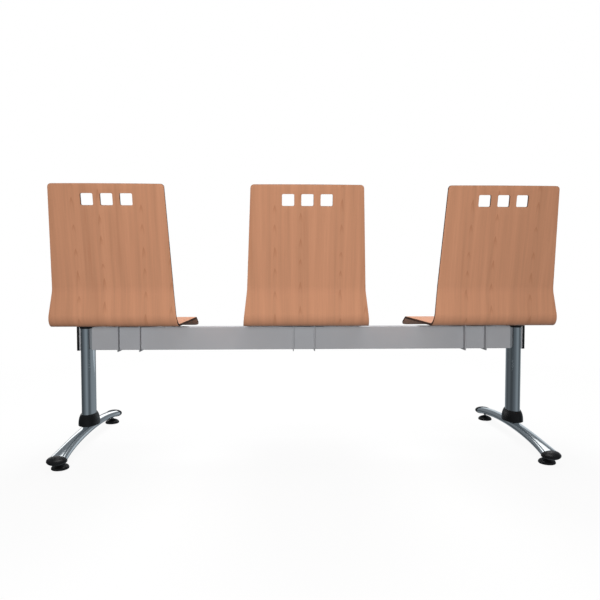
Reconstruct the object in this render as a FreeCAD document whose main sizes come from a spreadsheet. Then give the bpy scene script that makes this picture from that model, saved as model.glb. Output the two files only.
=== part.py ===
import FreeCAD, Part
import math
import os
import re
import Sketcher

# Beam seating for three people: three moulded plywood shells on one rectangular beam,
# carried by two oval columns on arched feet with screw glides.
# +X is the sitter's left, -Y is the way the sitter faces, +Z is up, and the floor is z = 0.
# The origin is on the floor, midway between the columns and below the middle of the beam.

os.makedirs("parts", exist_ok=True)
doc = FreeCAD.newDocument("BeamSeating")

# Driving dimensions in millimetres, slopes in degrees
DIMENSIONS = {
    "beam_length": 1566,
    "beam_depth": 40,
    "beam_height": 80,
    "beam_wall": 3,
    "beam_corner": 2,
    "beam_base": 332,
    "end_flange": 7.5,
    "end_margin": 2,
    "end_spigot": 10,
    "leg_offset": 759,
    "column_width": 45,
    "column_depth": 80,
    "column_wall": 2.5,
    "column_foot": 70,
    "column_top": 408,
    "cap_overhang": 1.5,
    "cap_rise": 10,
    "cap_lug": 12,
    "support_thick": 6,
    "leg_bolt_spread": 18,
    "leg_bolt_size": 8,
    "nut_plate_thick": 8,
    "washer_thick": 1.6,
    "collar_base": 69,
    "collar_rise": 39,
    "collar_width": 69,
    "collar_depth": 101,
    "collar_rim": 3,
    "collar_wall": 3,
    "foot_crown": 56,
    "foot_drop": 23,
    "foot_reach": 296,
    "foot_width_mid": 40,
    "foot_width_end": 57,
    "foot_thick": 25,
    "foot_wall": 2,
    "foot_bolt_spread": 36,
    "foot_bolt_size": 10,
    "saddle_width": 32,
    "saddle_depth": 64,
    "saddle_spigot": 25,
    "plug_centre": 296,
    "plug_width": 62,
    "plug_depth": 66,
    "plug_thick": 28,
    "plug_spigot": 7,
    "glide_offset": 273,
    "glide_pad_size": 52.6,
    "glide_pad_rise": 18,
    "glide_stud_size": 8,
    "glide_stud_top": 42.5,
    "glide_insert_size": 14,
    "glide_insert_base": 24,
    "glide_insert_top": 45.5,
    "thread_gap": 0.05,
    "seat_pitch": 607.5,
    "ply": 8,
    "shell_blank": 420,
    "shell_top_width": 346,
    "shell_waist_width": 376.6,
    "shell_pan_width": 403,
    "shell_top_rear": 278,
    "shell_top": 868,
    "waist_rear": 217.1,
    "waist_height": 546,
    "heel_rear": 231.4,
    "heel_height": 430.7,
    "knee_front": 186,
    "knee_height": 425,
    "lip_front": 251.8,
    "lip_height": 395.7,
    "waist_bend": 90,
    "heel_bend": 38,
    "knee_bend": 32,
    "top_corner": 10,
    "lip_corner": 18,
    "window_width": 37.4,
    "window_tall": 36,
    "window_pitch": 59,
    "window_corner": 4,
    "window_height": 823,
    "plate_width": 150,
    "plate_rear": 115,
    "plate_front": 112,
    "plate_thick": 3,
    "seat_screw_size": 6,
    "seat_screw_side": 55,
    "seat_screw_spread": 170,
    "seat_insert_size": 9,
    "seat_insert_depth": 6,
    "cheek_spacing": 74.4,
    "cheek_thick": 3,
    "cheek_proud": 23,
    "cheek_drop": 4,
    "cheek_nose": 105,
    "cheek_shin": 58,
    "cheek_gap": 0.5,
    "clamp_thick": 6,
    "clamp_height": 56,
    "nut_bar_front": 45,
    "nut_bar_thick": 10,
    "clamp_bolt_size": 8,
    "clamp_bolt_spread": 32,
}
sheet = doc.addObject("Spreadsheet::Sheet", "Dims")
for row, (alias, amount) in enumerate(DIMENSIONS.items(), start=1):
    sheet.set(f"A{row}", alias)
    sheet.set(f"B{row}", str(amount))
    sheet.setAlias(f"B{row}", alias)
doc.recompute()

CELL_NAMES = re.compile(r"\b(" + "|".join(DIMENSIONS) + r")\b")
ALONG_Y = FreeCAD.Rotation(FreeCAD.Vector(1, 0, 0), -90)
# The pan's underside climbs to the rear: its gradient, its angle, and its height over the beam
PAN_GRADIENT = "((heel_height - knee_height) / (heel_rear + knee_front))"
PAN_SLOPE = f"atan({PAN_GRADIENT})"
PAN_LEVEL = f"(knee_height + knee_front * {PAN_GRADIENT})"
nodes = []


def cells(text):
    """An expression written with bare cell names, made to read them from the sheet."""
    return CELL_NAMES.sub(r"Dims.\1", text)


def bind(item, **sizes):
    for prop, text in sizes.items():
        item.setExpression(prop, cells(text))
    return item


def place(item, x="0", y="0", z="0", rotation=None, tilt=None):
    """Moves a piece by expressions; the tilt is an angle about X, also an expression."""
    if tilt is not None:
        item.Placement = FreeCAD.Placement(FreeCAD.Vector(), FreeCAD.Rotation(FreeCAD.Vector(1, 0, 0), 1))
        item.setExpression("Placement.Rotation.Angle", cells(tilt))
    elif rotation is not None:
        item.Placement = FreeCAD.Placement(FreeCAD.Vector(), rotation)
    item.setExpression("Placement.Base.x", cells(x))
    item.setExpression("Placement.Base.y", cells(y))
    item.setExpression("Placement.Base.z", cells(z))
    return item


def node(item, label):
    """Marks a finished piece as a sub-part that gets a file of its own."""
    item.Label = label
    nodes.append(item)
    return item


def box(name, sizes, corner):
    """A block with its lowest corner at the given place."""
    item = doc.addObject("Part::Box", name)
    bind(item, Length=sizes[0], Width=sizes[1], Height=sizes[2])
    return place(item, *corner)


def rod(name, diameter, height, at, rotation=None):
    item = doc.addObject("Part::Cylinder", name)
    bind(item, Radius=f"({diameter}) / 2", Height=height)
    return place(item, *at, rotation=rotation)


def hexagon(name, across_flats, height, at, rotation=None):
    item = doc.addObject("Part::Prism", name)
    item.Polygon = 6
    bind(item, Circumradius=f"({across_flats}) / 2 / cos(30)", Height=height)
    return place(item, *at, rotation=rotation)


def oval_ring(name, width, depth, z, y="0", upright=False):
    """An ellipse whose long way runs along Y, or along X when it stands upright in an XZ plane."""
    item = doc.addObject("Part::Ellipse", name)
    if upright:
        bind(item, MajorRadius=f"({width}) / 2", MinorRadius=f"({depth}) / 2")
        return place(item, "0", y, z, rotation=FreeCAD.Rotation(FreeCAD.Vector(1, 0, 0), 90))
    bind(item, MajorRadius=f"({depth}) / 2", MinorRadius=f"({width}) / 2")
    return place(item, "0", y, z, rotation=FreeCAD.Rotation(FreeCAD.Vector(0, 0, 1), 90))


def oval_prism(name, width, depth, z, height):
    ring = oval_ring(name + "_ring", width, depth, z)
    item = doc.addObject("Part::Extrusion", name)
    item.Base = ring
    item.DirMode = "Custom"
    item.Dir = FreeCAD.Vector(0, 0, 1)
    item.Solid = True
    return bind(item, LengthFwd=height)


def loft(name, rings):
    item = doc.addObject("Part::Loft", name)
    item.Sections = rings
    item.Solid = True
    item.Ruled = False
    return item


def cut(name, base, tool):
    item = doc.addObject("Part::Cut", name)
    item.Base = base
    item.Tool = tool
    return item


def fuse(name, shapes):
    item = doc.addObject("Part::MultiFuse", name)
    item.Shapes = shapes
    return item


def group(name, links):
    item = doc.addObject("Part::Compound", name)
    item.Links = links
    return item


def rounded(name, base, radius, wanted):
    """Rounds the edges of a piece for which wanted(edge) is true."""
    doc.recompute()
    item = doc.addObject("Part::Fillet", name)
    item.Base = base
    item.Edges = [(i, radius, radius) for i, edge in enumerate(base.Shape.Edges, start=1) if wanted(edge)]
    return item


def runs_along(edge, axis):
    """True for a straight edge parallel to the axis, which is 0, 1 or 2 for X, Y or Z."""
    ends = [vertex.Point for vertex in edge.Vertexes]
    if len(ends) != 2:
        return False
    step = ends[1] - ends[0]
    return abs(abs(step[axis]) - edge.Length) < 1e-4


def new_body(name):
    return doc.addObject("PartDesign::Body", name)


def new_sketch(body, role, name):
    sketch = body.newObject("Sketcher::SketchObject", name)
    plane = [item for item in body.Origin.OriginFeatures if item.Role == role][0]
    sketch.AttachmentSupport = [(plane, "")]
    sketch.MapMode = "FlatFace"
    return sketch


def size_point(sketch, curve, across, up, start=(1.0, 1.0)):
    """Fixes the first point of a line by its two distances from the sketch's origin."""
    for kind, text, amount in (("DistanceX", across, start[0]), ("DistanceY", up, start[1])):
        index = sketch.addConstraint(Sketcher.Constraint(kind, -1, 1, curve, 1, amount))
        sketch.setExpression(f"Constraints[{index}]", cells(text))


def outline(sketch, points):
    """A closed outline of straight lines through points that are pairs of expressions."""
    first = sketch.GeometryCount
    count = len(points)
    start = [FreeCAD.Vector(math.cos(math.tau * i / count), math.sin(math.tau * i / count), 0)
             for i in range(count)]
    for i in range(count):
        sketch.addGeometry(Part.LineSegment(start[i], start[(i + 1) % count]), False)
    for i in range(count):
        sketch.addConstraint(Sketcher.Constraint("Coincident", first + i, 2, first + (i + 1) % count, 1))
    for i, (across, up) in enumerate(points):
        size_point(sketch, first + i, across, up)


def pad(body, sketch, name, length):
    item = body.newObject("PartDesign::Pad", name)
    item.Profile = sketch
    item.SideType = "Symmetric"
    return bind(item, Length=length)


def pocket(body, sketch, name, length):
    item = body.newObject("PartDesign::Pocket", name)
    item.Profile = sketch
    item.SideType = "Symmetric"
    return bind(item, Length=length)


def body_fillet(body, base, name, radius, wanted):
    doc.recompute()
    item = body.newObject("PartDesign::Fillet", name)
    item.Base = (base, [f"Edge{i}" for i, edge in enumerate(base.Shape.Edges, start=1) if wanted(edge)])
    return bind(item, Radius=radius)


def revolved(name, points):
    """A turned piece: the outline of its radius and height, spun about the upright axis."""
    body = new_body(name)
    sketch = new_sketch(body, "XZ_Plane", name + "_section")
    outline(sketch, points)
    spin = body.newObject("PartDesign::Revolution", name + "_turn")
    spin.Profile = sketch
    spin.ReferenceAxis = (sketch, ["V_Axis"])
    spin.Angle = 360
    return body


def beam_part():
    """Rectangular steel tube that carries the seats, with two bolt holes over each column."""
    outer = box("beam_outer", ("beam_length", "beam_depth", "beam_height"),
                ("-beam_length / 2", "-beam_depth / 2", "beam_base"))
    skin = rounded("beam_skin", outer, DIMENSIONS["beam_corner"], lambda edge: runs_along(edge, 0))
    bore = box("beam_bore", ("beam_length + 2", "beam_depth - 2 * beam_wall", "beam_height - 2 * beam_wall"),
               ("-beam_length / 2 - 1", "-beam_depth / 2 + beam_wall", "beam_base + beam_wall"))
    holes = [rod(f"beam_hole_{side}_{turn}", "leg_bolt_size + 1", "beam_wall + 2",
                 (f"{side} * leg_offset", f"{turn} * leg_bolt_spread / 2", "beam_base - 1"))
             for side in (1, -1) for turn in (1, -1)]
    tube = cut("beam_tube", skin, bore)
    node(cut("beam_drilled", tube, group("beam_holes", holes)), "beam")


def beam_end_cap(side, word):
    """Black plastic plug that closes one end of the beam."""
    flange = box(f"end_flange_{word}",
                 ("end_flange", "beam_depth + 2 * end_margin", "beam_height + 2 * end_margin"),
                 ("0", "-beam_depth / 2 - end_margin", "beam_base - end_margin"))
    smooth = rounded(f"end_smooth_{word}", flange, 3, lambda edge: runs_along(edge, 0))
    spigot = box(f"end_spigot_{word}",
                 ("end_spigot", "beam_depth - 2 * beam_wall", "beam_height - 2 * beam_wall"),
                 ("-end_spigot", "-beam_depth / 2 + beam_wall", "beam_base + beam_wall"))
    hollow = box(f"end_hollow_{word}",
                 ("end_spigot + 1", "beam_depth - 4 * beam_wall", "beam_height - 4 * beam_wall"),
                 ("-end_spigot - 1", "-beam_depth / 2 + 2 * beam_wall", "beam_base + 2 * beam_wall"))
    cap = cut(f"end_cap_{word}", fuse(f"end_solid_{word}", [smooth, spigot]), hollow)
    turned = FreeCAD.Rotation(FreeCAD.Vector(0, 0, 1), 0 if side > 0 else 180)
    node(place(cap, f"{side} * beam_length / 2", rotation=turned), f"beam_end_cap_{word}")


def column(side, word):
    """Oval steel tube with a notch across its top in which the beam lies."""
    outer = oval_prism(f"column_outer_{word}", "column_width", "column_depth", "column_foot",
                       "column_top - column_foot")
    bore = oval_prism(f"column_bore_{word}", "column_width - 2 * column_wall",
                      "column_depth - 2 * column_wall", "column_foot - 1", "column_top - column_foot + 2")
    notch = box(f"column_notch_{word}", ("column_width + 2", "beam_depth", "beam_height"),
                ("-column_width / 2 - 1", "-beam_depth / 2", "beam_base"))
    tube = cut(f"column_tube_{word}", outer, bore)
    node(place(cut(f"column_cut_{word}", tube, notch), f"{side} * leg_offset"), f"column_{word}")


def column_cap(side, word):
    """Black cap over the two ears of the column and the beam between them."""
    lid = oval_prism(f"lid_block_{word}", "column_width + 2 * cap_overhang", "column_depth + 2 * cap_overhang",
                     "column_top", "cap_rise")
    top = DIMENSIONS["column_top"] + DIMENSIONS["cap_rise"]
    smooth = rounded(f"lid_smooth_{word}", lid, 2.5, lambda edge: abs(edge.CenterOfMass.z - top) < 0.01)
    lugs = oval_prism(f"lid_lugs_{word}", "column_width - 2 * column_wall - 0.4",
                      "column_depth - 2 * column_wall - 0.4", "column_top - cap_lug", "cap_lug")
    seat = box(f"lid_seat_{word}", ("column_width + 8", "beam_depth + 0.4", "beam_height"),
               ("-column_width / 2 - 4", "-beam_depth / 2 - 0.2", "beam_base"))
    cap = cut(f"lid_cut_{word}", fuse(f"lid_solid_{word}", [smooth, lugs]), seat)
    node(place(cap, f"{side} * leg_offset"), f"column_cap_{word}")


def beam_joint(side, word):
    """Welded plate in the column, under the beam, and the tapped plate inside the beam."""
    holes = [rod(f"support_hole_{word}_{turn}", "leg_bolt_size + 1", "support_thick + 2",
                 ("0", f"{turn} * leg_bolt_spread / 2", "beam_base - support_thick - 1")) for turn in (1, -1)]
    disc = oval_prism(f"support_disc_{word}", "column_width - 2 * column_wall",
                      "column_depth - 2 * column_wall", "beam_base - support_thick", "support_thick")
    support = cut(f"support_cut_{word}", disc, group(f"support_holes_{word}", holes))
    node(place(support, f"{side} * leg_offset"), f"beam_support_plate_{word}")
    threads = [rod(f"nut_thread_{word}_{turn}", "leg_bolt_size + 2 * thread_gap", "nut_plate_thick + 2",
                   ("0", f"{turn} * leg_bolt_spread / 2", "beam_base + beam_wall - 1")) for turn in (1, -1)]
    bar = box(f"nut_bar_{word}", ("24", "beam_depth - 2 * beam_wall - 1", "nut_plate_thick"),
              ("-12", "-beam_depth / 2 + beam_wall + 0.5", "beam_base + beam_wall"))
    tapped = cut(f"nut_cut_{word}", bar, group(f"nut_threads_{word}", threads))
    node(place(tapped, f"{side} * leg_offset"), f"beam_nut_plate_{word}")


def leg_fasteners():
    """Hexagon bolts and washers that pull each column up to the beam from inside the column."""
    bolts = []
    washers = []
    for side in (1, -1):
        for turn in (1, -1):
            at = (f"{side} * leg_offset", f"{turn} * leg_bolt_spread / 2")
            tag = f"{side}_{turn}"
            under = "beam_base - support_thick - washer_thick"
            head = hexagon(f"leg_bolt_head_{tag}", "13", "5.3", (*at, f"{under} - 5.3"))
            shank = rod(f"leg_bolt_shank_{tag}", "leg_bolt_size", "support_thick + washer_thick + 14", (*at, under))
            bolts.append(fuse(f"leg_bolt_{tag}", [head, shank]))
            disc = rod(f"leg_washer_disc_{tag}", "16", "washer_thick", (*at, under))
            hole = rod(f"leg_washer_hole_{tag}", "leg_bolt_size + 0.4", "washer_thick + 2", (*at, f"{under} - 1"))
            washers.append(cut(f"leg_washer_{tag}", disc, hole))
    node(group("leg_bolt_group", bolts), "leg_bolts")
    node(group("leg_washer_group", washers), "leg_washers")


def collar(side, word):
    """Black flared skirt round the bottom of the column."""
    # Height, and how much of the full flare each level has left
    levels = ((0, 1.0), (0.15, 0.985), (0.4, 0.9), (0.65, 0.68), (0.85, 0.36), (1, 0))

    def skirt(tag, inset, top_trim):
        rings = []
        for i, (rise, flare) in enumerate(levels):
            width = (f"column_width + 2 * collar_rim + {flare}"
                     f" * (collar_width - column_width - 2 * collar_rim) - 2 * {inset}")
            depth = (f"column_depth + 2 * collar_rim + {flare}"
                     f" * (collar_depth - column_depth - 2 * collar_rim) - 2 * {inset}")
            height = f"collar_base - {top_trim} + {rise} * collar_rise"
            rings.append(oval_ring(f"collar_{tag}_{word}_{i}", width, depth, height))
        return loft(f"collar_{tag}_{word}", rings)

    outer = skirt("outer", "0", "0")
    hollow = skirt("hollow", "collar_wall", "collar_wall")
    bore = oval_prism(f"collar_bore_{word}", "column_width + 0.3", "column_depth + 0.3",
                      "collar_base - 1", "collar_rise + 2")
    shell = cut(f"collar_shell_{word}", cut(f"collar_skin_{word}", outer, hollow), bore)
    node(place(shell, f"{side} * leg_offset"), f"collar_{word}")


def foot_loft(tag, inset, overrun):
    """The arched oval of the foot, or its bore when it is drawn in by the wall."""
    stations = 9
    rings = []
    for i in range(stations):
        part = 2 * i / (stations - 1) - 1
        along = f"{part} * (foot_reach + {overrun})"
        lean = f"(2 * foot_drop * {part} / foot_reach)"
        width = f"foot_width_mid + (foot_width_end - foot_width_mid) * {abs(part)} ^ 4 - 2 * {inset}"
        height = f"(foot_thick - 2 * {inset}) * sqrt(1 + {lean} ^ 2)"
        rings.append(oval_ring(f"foot_{tag}_{i}", width, height, f"foot_crown - foot_drop * {part} ^ 2",
                               along, upright=True))
    return loft(f"foot_{tag}", rings)


def foot(side, word):
    """Arched oval tube across the bottom of the column, with a glide under each end."""
    outer = foot_loft(f"outer_{word}", "0", "0")
    bore = foot_loft(f"bore_{word}", "foot_wall", "0.5")
    tools = [bore]
    for turn in (1, -1):
        spread = f"{turn} * foot_bolt_spread / 2"
        tools.append(rod(f"foot_bolt_hole_{word}_{turn}", "foot_bolt_size + 0.4", "30", ("0", spread, "foot_crown")))
        tools.append(rod(f"foot_access_{word}_{turn}", "20", "30", ("0", spread, "foot_crown - 30")))
        tools.append(rod(f"foot_insert_hole_{word}_{turn}", "glide_insert_size", "20",
                         ("0", f"{turn} * glide_offset", "glide_insert_base - 5")))
    tube = cut(f"foot_tube_{word}", outer, fuse(f"foot_tools_{word}", tools))
    node(place(tube, f"{side} * leg_offset"), f"foot_{word}")
    foot_saddle(side, word, outer)


def foot_saddle(side, word, foot_outer):
    """Steel saddle that seats on the crown of the foot and is welded into the column."""
    under = "foot_crown + 4"
    base = oval_prism(f"saddle_base_{word}", "saddle_width", "saddle_depth", under,
                      "column_foot - foot_crown - 4")
    spigot = oval_prism(f"saddle_spigot_{word}", "column_width - 2 * column_wall",
                        "column_depth - 2 * column_wall", "column_foot", "saddle_spigot")
    threads = [rod(f"saddle_thread_{word}_{turn}", "foot_bolt_size + 2 * thread_gap", "60",
                   ("0", f"{turn} * foot_bolt_spread / 2", "foot_crown")) for turn in (1, -1)]
    solid = fuse(f"saddle_solid_{word}", [base, spigot])
    tools = fuse(f"saddle_tools_{word}", [foot_outer, *threads])
    node(place(cut(f"saddle_cut_{word}", solid, tools), f"{side} * leg_offset"), f"foot_saddle_{word}")


def foot_fasteners():
    """Bolts from inside each foot up into its saddle."""
    bolts = []
    for side in (1, -1):
        for turn in (1, -1):
            at = (f"{side} * leg_offset", f"{turn} * foot_bolt_spread / 2")
            head = hexagon(f"foot_bolt_head_{side}_{turn}", "16", "6", (*at, "foot_crown + 2.8"))
            shank = rod(f"foot_bolt_shank_{side}_{turn}", "foot_bolt_size", "24", (*at, "foot_crown + 8.8"))
            bolts.append(fuse(f"foot_bolt_{side}_{turn}", [head, shank]))
    node(group("foot_bolt_group", bolts), "foot_bolts")


def foot_plug(side, turn, word):
    """Black domed plug in one end of a foot."""
    middle = "foot_crown - foot_drop * ((foot_reach - plug_spigot / 2) / foot_reach) ^ 2"
    dome = doc.addObject("Part::Ellipsoid", f"plug_dome_{word}")
    dome.Angle1 = -90
    bind(dome, Radius1="plug_thick / 2", Radius2="plug_width / 2", Radius3="plug_depth / 2")
    place(dome, "0", "plug_centre", "foot_crown - foot_drop")
    away = box(f"plug_away_{word}", ("plug_width + 10", "plug_depth", "plug_thick + 10"),
               ("-plug_width / 2 - 5", "foot_reach - plug_depth", "foot_crown - foot_drop - plug_thick / 2 - 5"))
    ring = oval_ring(f"plug_ring_{word}", "foot_width_end - 2 * foot_wall - 3", "foot_thick - 2 * foot_wall - 3",
                     middle, "foot_reach", upright=True)
    spigot = doc.addObject("Part::Extrusion", f"plug_spigot_{word}")
    spigot.Base = ring
    spigot.DirMode = "Custom"
    spigot.Dir = FreeCAD.Vector(0, -1, 0)
    spigot.Solid = True
    bind(spigot, LengthFwd="plug_spigot")
    plug = fuse(f"plug_{word}", [cut(f"plug_head_{word}", dome, away), spigot])
    turned = FreeCAD.Rotation(FreeCAD.Vector(0, 0, 1), 0 if turn > 0 else 180)
    node(place(plug, f"{side} * leg_offset", rotation=turned), f"foot_plug_{word}")


def glide(side, turn, word):
    """Screw glide: a tapped insert in the foot, a stud that turns in it, and the pad on the floor."""
    at = (f"{side} * leg_offset", f"{turn} * glide_offset")
    bush = rod(f"insert_bush_{word}", "glide_insert_size", "glide_insert_top - glide_insert_base",
               (*at, "glide_insert_base"))
    thread = rod(f"insert_thread_{word}", "glide_stud_size + 2 * thread_gap", "60", (*at, "0"))
    node(cut(f"insert_{word}", bush, thread), f"glide_insert_{word}")

    stud = revolved(f"stud_{word}", (
        ("0", "8"), ("6", "8"), ("6", "12"), ("glide_stud_size / 2", "12"),
        ("glide_stud_size / 2", "glide_stud_top - 1"), ("glide_stud_size / 2 - 1", "glide_stud_top"),
        ("0", "glide_stud_top")))
    node(place(stud, *at), f"glide_stud_{word}")

    pad_body = revolved(f"pad_{word}", (
        ("0", "0"), ("glide_pad_size / 2 - 1.5", "0"), ("glide_pad_size / 2", "1.5"),
        ("glide_pad_size / 2", "4.5"), ("glide_pad_size / 2 - 1.3", "7.5"), ("22", "10.5"), ("17.5", "13.2"),
        ("12.5", "15.3"), ("7.5", "16.6"), ("6.5", "glide_pad_rise"),
        ("glide_stud_size / 2 + thread_gap", "glide_pad_rise"),
        ("glide_stud_size / 2 + thread_gap", "12 + thread_gap"), ("6 + thread_gap", "12 + thread_gap"),
        ("6 + thread_gap", "8 - thread_gap"), ("0", "8 - thread_gap")))
    node(place(pad_body, *at), f"glide_pad_{word}")


def shell_corners():
    """Corners of the shell's side view: its outer face from the top to the lip, and its inner face."""
    size = DIMENSIONS
    outer = [FreeCAD.Vector(size["shell_top_rear"], size["shell_top"]),
             FreeCAD.Vector(size["waist_rear"], size["waist_height"]),
             FreeCAD.Vector(size["heel_rear"], size["heel_height"]),
             FreeCAD.Vector(-size["knee_front"], size["knee_height"]),
             FreeCAD.Vector(-size["lip_front"], size["lip_height"])]
    runs = [(after - before).normalize() for before, after in zip(outer, outer[1:])]
    inward = [FreeCAD.Vector(run.y, -run.x) for run in runs]
    inner = [outer[0] + inward[0] * size["ply"]]
    for before, after, corner in zip(inward, inward[1:], outer[1:]):
        inner.append(corner + (before + after) * (size["ply"] / (1 + before.dot(after))))
    inner.append(outer[-1] + inward[-1] * size["ply"])
    return outer, inner


def shell_section(body, outer, inner):
    """The side view as a sketch: the outer face by its corners, the inner face one ply from it."""
    sketch = new_sketch(body, "YZ_Plane", body.Name + "_section")
    corners = outer + inner[::-1]
    count = len(corners)
    for i in range(count):
        sketch.addGeometry(Part.LineSegment(corners[i], corners[(i + 1) % count]), False)
    for i in range(count):
        sketch.addConstraint(Sketcher.Constraint("Coincident", i, 2, (i + 1) % count, 1))
    places = (("shell_top_rear", "shell_top"), ("waist_rear", "waist_height"), ("heel_rear", "heel_height"),
              ("-knee_front", "knee_height"), ("-lip_front", "lip_height"))
    for i, (across, up) in enumerate(places):
        size_point(sketch, i, across, up, corners[i])
    last_run = len(outer) - 2
    for i in range(last_run + 1):
        opposite = count - 2 - i
        sketch.addConstraint(Sketcher.Constraint("Parallel", i, opposite))
        gap = sketch.addConstraint(Sketcher.Constraint("Distance", opposite, 1, i, DIMENSIONS["ply"]))
        sketch.setExpression(f"Constraints[{gap}]", cells("ply"))
    sketch.addConstraint(Sketcher.Constraint("Perpendicular", last_run + 1, last_run))
    sketch.addConstraint(Sketcher.Constraint("Perpendicular", count - 1, 0))
    return sketch


def seat_shell(side, word):
    """One moulded plywood shell: back with three windows, waist, heel bend, pan and drooping lip."""
    body = new_body(f"shell_{word}")
    outer, inner = shell_corners()
    solid = pad(body, shell_section(body, outer, inner), f"shell_blank_{word}", "shell_blank")

    def bend_line(corner):
        return lambda edge: (runs_along(edge, 0)
                             and math.hypot(edge.CenterOfMass.y - corner.x, edge.CenterOfMass.z - corner.y) < 0.1)

    # Each bend is rounded on its hollow side first, so the ply never thins to nothing
    bends = (("heel_hollow", "heel_bend - ply", inner[2]), ("heel_round", "heel_bend", outer[2]),
             ("knee_hollow", "knee_bend", outer[3]), ("knee_round", "knee_bend + ply", inner[3]),
             ("waist_hollow", "waist_bend", outer[1]), ("waist_round", "waist_bend + ply", inner[1]))
    for tag, radius, corner in bends:
        solid = body_fillet(body, solid, f"shell_{tag}_{word}", radius, bend_line(corner))

    for turn, hand in ((1, "one"), (-1, "other")):
        trim = new_sketch(body, "XZ_Plane", f"shell_trim_{hand}_{word}")
        outline(trim, (
            (f"{turn} * (shell_top_width / 2 - 2)", "shell_top + 42"),
            (f"{turn} * shell_waist_width / 2", "waist_height"),
            (f"{turn} * shell_pan_width / 2", "heel_height"),
            (f"{turn} * shell_pan_width / 2", "lip_height - 20"),
            (f"{turn} * (shell_blank / 2 + 10)", "lip_height - 20"),
            (f"{turn} * (shell_blank / 2 + 10)", "shell_top + 42")))
        pocket(body, trim, f"shell_side_{hand}_{word}", "1200")
    windows = new_sketch(body, "XZ_Plane", f"shell_windows_{word}")
    low = "window_height - window_tall / 2"
    high = "window_height + window_tall / 2"
    for place_number in (-1, 0, 1):
        left = f"{place_number} * window_pitch - window_width / 2"
        right = f"{place_number} * window_pitch + window_width / 2"
        outline(windows, ((left, low), (right, low), (right, high), (left, high)))
    solid = pocket(body, windows, f"shell_holes_{word}", "1200")

    def through_ply(edge):
        return abs(edge.Length - DIMENSIONS["ply"]) < 0.5 and not runs_along(edge, 0)

    window_floor = DIMENSIONS["window_height"] - DIMENSIONS["window_tall"]
    roundings = (
        ("top", "top_corner",
         lambda edge: through_ply(edge) and edge.CenterOfMass.z > DIMENSIONS["shell_top"] - 8),
        ("lip", "lip_corner",
         lambda edge: through_ply(edge) and edge.CenterOfMass.z < DIMENSIONS["lip_height"] + 9),
        ("window", "window_corner",
         lambda edge: runs_along(edge, 1) and edge.CenterOfMass.z > window_floor))
    for tag, radius, wanted in roundings:
        solid = body_fillet(body, solid, f"shell_{tag}_corners_{word}", radius, wanted)
    sockets = [screw_rod(f"shell_socket_{word}_{i}", "seat_insert_size", "seat_insert_depth + 1", "-1", "0",
                         across, along) for i, (across, along) in enumerate(SEAT_SCREWS)]
    drilled = cut(f"shell_drilled_{word}", body, group(f"shell_sockets_{word}", sockets))
    node(place(drilled, f"{side} * seat_pitch"), f"seat_shell_{word}")


# Side and lengthwise place of the four screws under each pan
SEAT_SCREWS = [(across, along) for across in (1, -1) for along in (1, -1)]


def screw_rod(name, diameter, length, start, centre, across, along):
    """A rod square to the sloping pan, at one of the four screw places of a seat."""
    item = doc.addObject("Part::Cylinder", name)
    bind(item, Radius=f"({diameter}) / 2", Height=length)
    depth = f"({along} * seat_screw_spread / 2)"
    return place(item, f"{centre} + {across} * seat_screw_side",
                 f"{depth} * cos({PAN_SLOPE}) - ({start}) * sin({PAN_SLOPE})",
                 f"{PAN_LEVEL} + {depth} * sin({PAN_SLOPE}) + ({start}) * cos({PAN_SLOPE})", tilt=PAN_SLOPE)


def seat_plate(side, word):
    """Steel plate screwed under the pan and welded to the cheeks."""
    blank = box(f"plate_blank_{word}", ("plate_width", "plate_rear + plate_front", "plate_thick"),
                ("-plate_width / 2", "-plate_front", "-plate_thick"))
    soft = rounded(f"plate_soft_{word}", blank, 12, lambda edge: runs_along(edge, 2))
    holes = [rod(f"plate_hole_{word}_{i}", "seat_screw_size + 0.6", "plate_thick + 2",
                 (f"{across} * seat_screw_side", f"{along} * seat_screw_spread / 2", "-plate_thick - 1"))
             for i, (across, along) in enumerate(SEAT_SCREWS)]
    drilled = cut(f"plate_drilled_{word}", soft, group(f"plate_holes_{word}", holes))
    node(place(drilled, f"{side} * seat_pitch", "0", PAN_LEVEL, tilt=PAN_SLOPE), f"seat_plate_{word}")


def seat_cheek(side, turn, word):
    """Upright steel plate that the beam runs through; its rear edge stands behind the beam."""
    body = new_body(f"cheek_{word}")
    under_plate = f"{PAN_LEVEL} - plate_thick / cos({PAN_SLOPE})"
    rear = "beam_depth / 2 + cheek_proud"
    low = "beam_base - cheek_drop"
    side_view = new_sketch(body, "YZ_Plane", f"cheek_outline_{word}")
    outline(side_view, (
        (rear, low), (rear, f"{under_plate} + ({rear}) * {PAN_GRADIENT}"),
        ("-cheek_nose", f"{under_plate} - cheek_nose * {PAN_GRADIENT}"),
        ("-cheek_nose", f"{under_plate} - cheek_nose * {PAN_GRADIENT} - 12"),
        ("-cheek_shin", "beam_base + 24"), ("-cheek_shin", low)))
    pad(body, side_view, f"cheek_blank_{word}", "cheek_thick")
    window = new_sketch(body, "YZ_Plane", f"cheek_window_{word}")
    front = "-beam_depth / 2 - cheek_gap"
    under = "beam_base - cheek_gap"
    outline(window, ((front, under), ("beam_depth / 2", under), ("beam_depth / 2", "beam_base + beam_height"),
                     (front, "beam_base + beam_height")))
    pocket(body, window, f"cheek_pass_{word}", "cheek_thick + 10")
    node(place(body, f"{side} * seat_pitch + {turn} * cheek_spacing / 2"), f"seat_cheek_{word}")


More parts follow.
